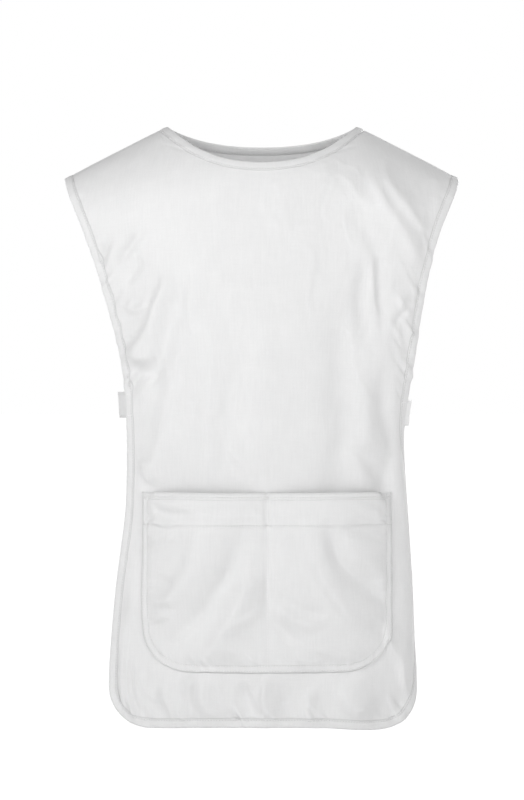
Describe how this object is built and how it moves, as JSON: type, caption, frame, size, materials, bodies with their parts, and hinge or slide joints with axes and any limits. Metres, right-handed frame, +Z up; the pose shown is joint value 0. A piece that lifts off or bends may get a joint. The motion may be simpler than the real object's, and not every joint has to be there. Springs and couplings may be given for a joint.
{
  "type": "cobbler apron",
  "caption": "Sleeveless pullover work apron with front and back panels, bound edges, a two-compartment patch pocket and side tabs.",
  "frame": {"origin": "midway between the shoulders, level with the neck ends of both shoulder seams", "axes": "+Z up along the wearer, -Y towards the wearer's front, +X towards the wearer's left side, which is on the right in a front view"},
  "size_m": [0.4946, 0.2442, 0.743],
  "materials": {
    "cloth": "white polyester and cotton plain weave with a faint sheen",
    "tape": "white bias binding",
    "stud": "white press stud, satin"
  },
  "bodies": {
    "root": {"front_panel": "cloth", "back_panel": "cloth", "neck_binding": "tape", "edge_binding": "tape", "pocket": "cloth", "side_tab_left": "cloth", "side_tab_right": "cloth", "press_stud_left": "stud", "press_stud_right": "stud"}
  },
  "joints": []
}
